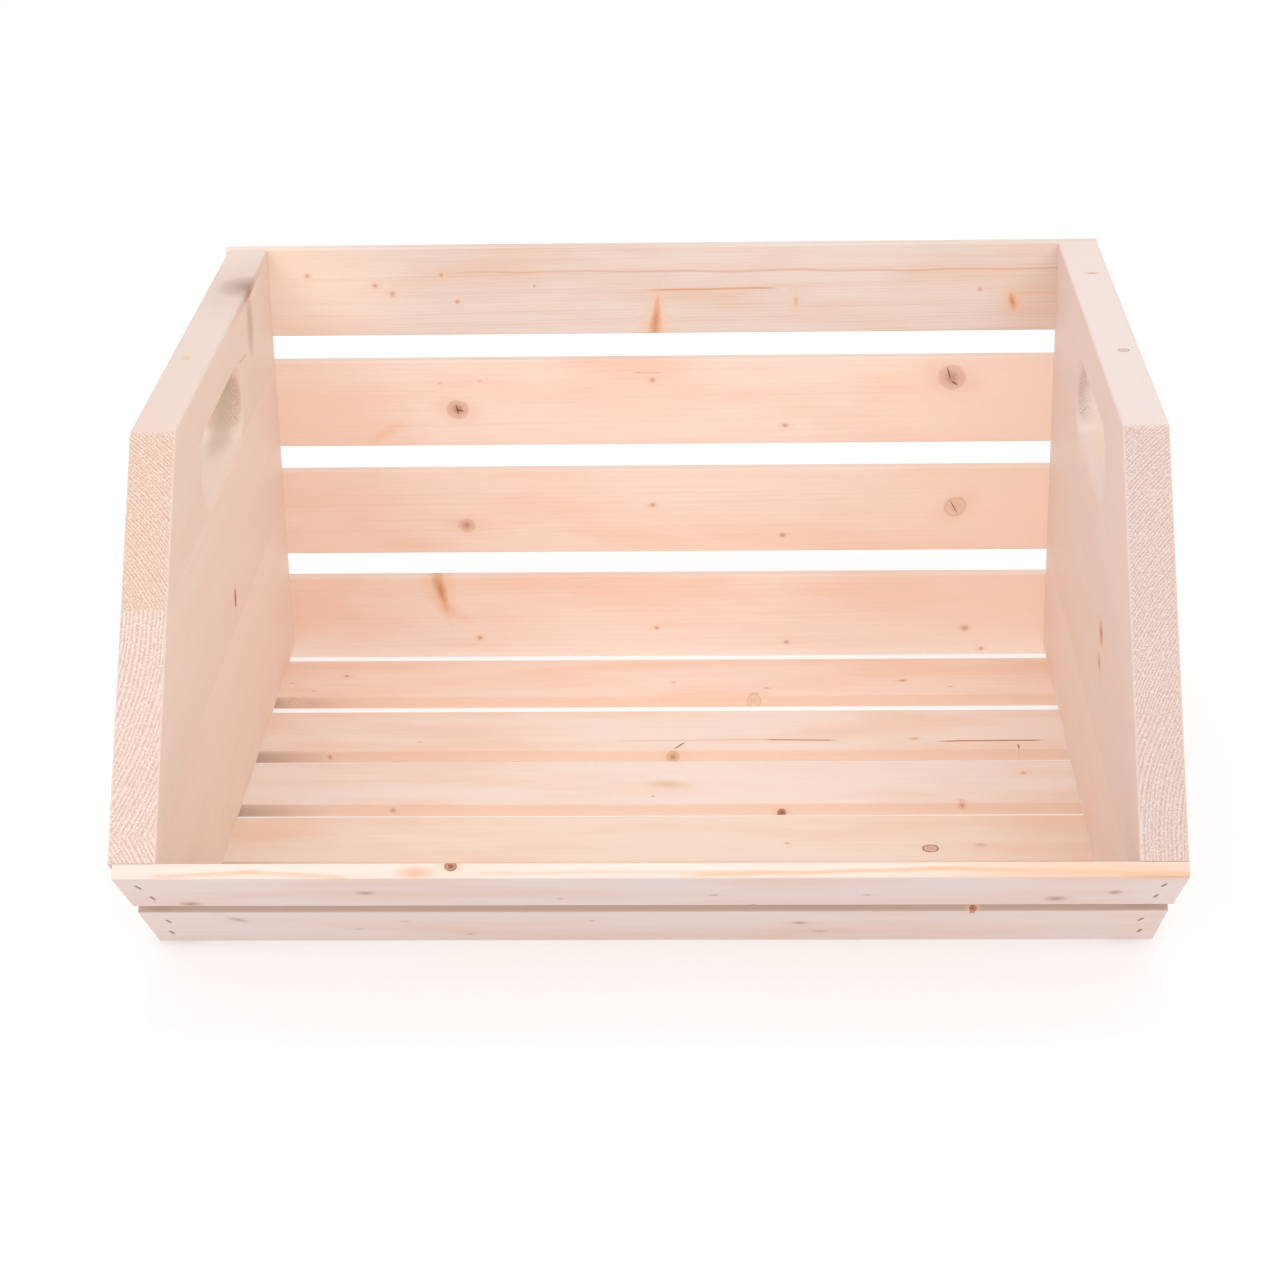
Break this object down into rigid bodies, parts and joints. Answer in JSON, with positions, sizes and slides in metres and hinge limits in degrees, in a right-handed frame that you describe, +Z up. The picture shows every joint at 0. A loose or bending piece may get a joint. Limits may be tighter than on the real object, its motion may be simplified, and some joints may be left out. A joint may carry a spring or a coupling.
{
  "type": "wooden apple crate",
  "caption": "Shallow slatted wooden crate with glued side panels, hand holes, an open top and a low front that slopes outwards.",
  "frame": {"origin": "on the ground, midway between the side panels and midway from front to back", "axes": "+Z up, +X to the right along the slats as seen from the open front, -Y out of the open front, +Y to the back"},
  "size_m": [0.4014, 0.3678, 0.206],
  "materials": {
    "panel_wood": "planed and lightly sanded, bare",
    "slat_wood": "planed, bare",
    "staple_wire": "galvanised wire"
  },
  "bodies": {
    "root": {"left_panel_bottom_board": "panel_wood", "left_panel_middle_board": "panel_wood", "left_panel_top_board": "panel_wood", "right_panel_bottom_board": "panel_wood", "right_panel_middle_board": "panel_wood", "right_panel_top_board": "panel_wood", "back_slat_1": "slat_wood", "back_slat_2": "slat_wood", "back_slat_3": "slat_wood", "back_slat_4": "slat_wood", "floor_slat_1": "slat_wood", "floor_slat_2": "slat_wood", "floor_slat_3": "slat_wood", "floor_slat_4": "slat_wood", "floor_slat_5": "slat_wood", "lip_slat_upper": "slat_wood", "lip_slat_lower": "slat_wood", "back_slat_1_staples": "staple_wire", "back_slat_2_staples": "staple_wire", "back_slat_3_staples": "staple_wire", "back_slat_4_staples": "staple_wire", "floor_slat_1_staples": "staple_wire", "floor_slat_2_staples": "staple_wire", "floor_slat_3_staples": "staple_wire", "floor_slat_4_staples": "staple_wire", "floor_slat_5_staples": "staple_wire", "lip_slat_upper_staples": "staple_wire", "lip_slat_lower_staples": "staple_wire"}
  },
  "joints": []
}
